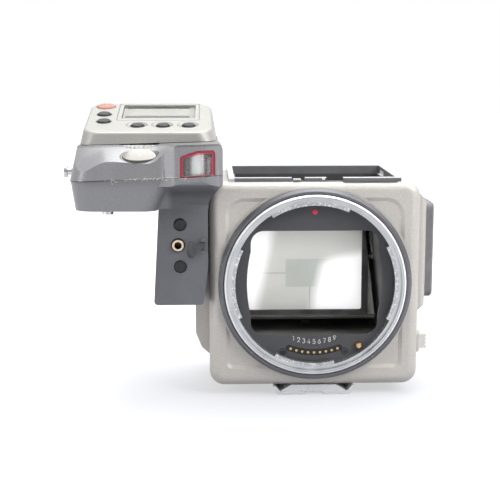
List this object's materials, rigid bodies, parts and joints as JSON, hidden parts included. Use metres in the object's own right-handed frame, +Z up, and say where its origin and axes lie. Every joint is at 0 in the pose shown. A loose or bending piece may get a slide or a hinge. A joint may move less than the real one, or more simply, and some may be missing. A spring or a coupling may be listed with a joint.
{
  "type": "medium format film camera body",
  "caption": "Medium format film camera body with grip head, bayonet lens mount, reflex mirror, focusing screen and open finder and film bays.",
  "frame": {"origin": "centre of the lens mount at the bayonet ring's front face", "axes": "+X to the right seen from the front, +Y from the lens mount to the film, +Z up"},
  "size_m": [0.1596, 0.0791, 0.1244],
  "materials": {
    "cast_black": "black anodised",
    "body_paint": "warm grey speckled lacquer",
    "rubber_dark": "matte",
    "ring_dark": "satin anodised",
    "steel_bright": "turned and polished",
    "throat_black": "matte",
    "screw_steel": "plated",
    "button_black": "satin",
    "contact_gold": "gold plated",
    "release_cream": "gloss",
    "mirror_metal": "matte black",
    "screen_glass": "fine ground",
    "leaf_black": "matte black",
    "mirror_glass": "front silvered",
    "sub_glass": "silvered",
    "gear_brass": "machined",
    "motor_can": "plated",
    "board_green": "solder mask",
    "foot_steel": "polished",
    "column_grey": "satin",
    "grip_grey": "satin lacquer",
    "grip_silver": "satin lacquer",
    "lamp_red": "clear red",
    "led_holder": "metallised",
    "top_paint": "warm grey speckled lacquer",
    "lcd_glass": "clear",
    "lcd_panel": "gloss",
    "button_red": "satin"
  },
  "bodies": {
    "camera_body": {"chassis": "cast_black", "front_cover": "body_paint", "main_shell": "body_paint", "side_cover": "body_paint", "side_pad": "rubber_dark", "grip_side_cover": "body_paint", "mount_surround_ring": "ring_dark", "bayonet_flange": "steel_bright", "throat_plate": "throat_black", "fixing_screws": "screw_steel", "lens_contact_block": "button_black", "lens_contact_pins": "contact_gold", "finder_rail_frame": "mirror_metal", "screen_frame": "mirror_metal", "focusing_screen": "screen_glass", "rear_frame": "mirror_metal", "magazine_support": "steel_bright", "drive_motor": "motor_can", "af_sensor_module": "button_black", "main_circuit_board": "board_green", "tripod_foot": "foot_steel", "grip_column": "column_grey", "sync_terminal": "steel_bright", "grip_lower_shell": "grip_grey", "grip_front_shell": "grip_silver", "grip_rear_cover": "grip_grey", "af_lamp_window": "lamp_red", "af_lamp_led": "led_holder", "grip_frame": "button_black", "strap_lugs": "steel_bright", "battery_guide_post": "steel_bright", "grip_top_cover": "top_paint", "lcd_window": "lcd_glass", "lcd_module": "lcd_panel"},
    "mirror_link_pair": {"mirror_links": "steel_bright"},
    "main_mirror": {"mirror_tray": "mirror_metal", "mirror_glass": "mirror_glass"},
    "second_mirror": {"sub_mirror": "sub_glass"},
    "idler_gear": {"mirror_idler_gear": "gear_brass"},
    "pinion_gear": {"motor_pinion": "gear_brass"},
    "upper_leaf": {"upper_shutter_leaf": "leaf_black"},
    "lower_leaf": {"lower_shutter_leaf": "leaf_black"},
    "terminal_cap": {"sync_cap": "rubber_dark"},
    "lens_release": {"lens_release_button": "release_cream"},
    "lock_pin": {"lens_lock_pin": "contact_gold"},
    "finder_latch": {"finder_catch": "steel_bright"},
    "magazine_latch": {"magazine_catch": "steel_bright"},
    "release_button": {"shutter_release_button": "release_cream"},
    "front_wheel": {"front_control_wheel": "button_black"},
    "rear_wheel": {"rear_control_wheel": "button_black"},
    "power_key": {"power_button": "button_red"},
    "side_key_1": {"side_button_1": "button_black"},
    "side_key_2": {"side_button_2": "button_black"},
    "front_key_1": {"front_button_1": "button_black"},
    "front_key_2": {"front_button_2": "button_black"},
    "front_key_3": {"front_button_3": "button_black"},
    "mirror_key": {"mirror_up_button": "button_black"},
    "stop_key": {"stop_down_button": "button_black"},
    "rear_key": {"rear_lock_button": "button_black"}
  },
  "joints": [
    {"name": "mirror_lift", "type": "hinge", "parent": "camera_body", "child": "mirror_link_pair", "pos_m": [0, 0.05437, 0.01567], "axis": [-1, 0, 0], "range_deg": [0, 70.75]},
    {"name": "mirror_turn", "type": "hinge", "parent": "mirror_link_pair", "child": "main_mirror", "pos_m": [0, 0.04433, 0.00491], "axis": [-1, 0, 0], "range_deg": [-25.8, 0]},
    {"name": "second_mirror_fold", "type": "hinge", "parent": "main_mirror", "child": "second_mirror", "pos_m": [0, 0.0449, 0.00293], "axis": [-1, 0, 0], "range_deg": [0, 90.05]},
    {"name": "idler_spin", "type": "hinge", "parent": "camera_body", "child": "idler_gear", "pos_m": [0, 0.02837, 0.01567], "axis": [-1, 0, 0], "range_deg": [-113.26, 0]},
    {"name": "pinion_spin", "type": "hinge", "parent": "camera_body", "child": "pinion_gear", "pos_m": [0, 0.02631, 0.00101], "axis": [-1, 0, 0], "range_deg": [0, 235.9]},
    {"name": "upper_leaf_slide", "type": "slide", "parent": "camera_body", "child": "upper_leaf", "axis": [0, 0, 1], "range_m": [0, 0.02115], "stiffness_N_per_m": 30},
    {"name": "lower_leaf_slide", "type": "slide", "parent": "camera_body", "child": "lower_leaf", "axis": [0, 0, -1], "range_m": [0, 0.02115]},
    {"name": "terminal_cap_swing", "type": "hinge", "parent": "camera_body", "child": "terminal_cap", "pos_m": [-0.0475, -0.0004, 0.0175], "axis": [0, 0, -1], "range_deg": [0, 65]},
    {"name": "lens_release_slide", "type": "slide", "parent": "camera_body", "child": "lens_release", "axis": [-1, 0, 0], "range_m": [0, 0.0015], "stiffness_N_per_m": 900},
    {"name": "lock_pin_slide", "type": "slide", "parent": "camera_body", "child": "lock_pin", "axis": [0, 1, 0], "range_m": [0, 0.002]},
    {"name": "finder_latch_slide", "type": "slide", "parent": "camera_body", "child": "finder_latch", "axis": [0, 1, 0], "range_m": [0, 0.0008], "stiffness_N_per_m": 900},
    {"name": "magazine_latch_slide", "type": "slide", "parent": "camera_body", "child": "magazine_latch", "axis": [0, 0, 1], "range_m": [0, 0.0008], "stiffness_N_per_m": 900},
    {"name": "release_press", "type": "slide", "parent": "camera_body", "child": "release_button", "axis": [0, 0.5358, -0.8443], "range_m": [0, 0.001], "stiffness_N_per_m": 900},
    {"name": "front_wheel_spin", "type": "hinge", "parent": "camera_body", "child": "front_wheel", "pos_m": [-0.0734, 0.0118, 0.05845], "axis": [0, 0, 1], "continuous": true},
    {"name": "rear_wheel_spin", "type": "hinge", "parent": "camera_body", "child": "rear_wheel", "pos_m": [-0.072, 0.04, 0.05], "axis": [0, 0, 1], "continuous": true},
    {"name": "power_press", "type": "slide", "parent": "camera_body", "child": "power_key", "axis": [0, 0.2317, -0.9728], "range_m": [0, 0.0006], "stiffness_N_per_m": 600},
    {"name": "side_press_1", "type": "slide", "parent": "camera_body", "child": "side_key_1", "axis": [0, 0.2317, -0.9728], "range_m": [0, 0.0006], "stiffness_N_per_m": 600},
    {"name": "side_press_2", "type": "slide", "parent": "camera_body", "child": "side_key_2", "axis": [0, 0.2317, -0.9728], "range_m": [0, 0.0006], "stiffness_N_per_m": 600},
    {"name": "front_press_1", "type": "slide", "parent": "camera_body", "child": "front_key_1", "axis": [0, 0.2317, -0.9728], "range_m": [0, 0.0006], "stiffness_N_per_m": 600},
    {"name": "front_press_2", "type": "slide", "parent": "camera_body", "child": "front_key_2", "axis": [0, 0.2317, -0.9728], "range_m": [0, 0.0006], "stiffness_N_per_m": 600},
    {"name": "front_press_3", "type": "slide", "parent": "camera_body", "child": "front_key_3", "axis": [0, 0.2317, -0.9728], "range_m": [0, 0.0006], "stiffness_N_per_m": 600},
    {"name": "mirror_press", "type": "slide", "parent": "camera_body", "child": "mirror_key", "axis": [0, 1, 0], "range_m": [0, 0.0006], "stiffness_N_per_m": 600},
    {"name": "stop_press", "type": "slide", "parent": "camera_body", "child": "stop_key", "axis": [0, 1, 0], "range_m": [0, 0.0006], "stiffness_N_per_m": 600},
    {"name": "rear_press", "type": "slide", "parent": "camera_body", "child": "rear_key", "axis": [0, -1, 0], "range_m": [0, 0.0005], "stiffness_N_per_m": 600}
  ],
  "couplings": [
    {"joint": "mirror_turn", "follows": "mirror_lift", "ratio": -0.364},
    {"joint": "second_mirror_fold", "follows": "mirror_lift", "ratio": 1.272},
    {"joint": "idler_spin", "follows": "mirror_lift", "ratio": -1.6},
    {"joint": "pinion_spin", "follows": "mirror_lift", "ratio": 3.3333},
    {"joint": "lower_leaf_slide", "follows": "upper_leaf_slide", "ratio": 1},
    {"joint": "lock_pin_slide", "follows": "lens_release_slide", "ratio": 1.3333}
  ]
}
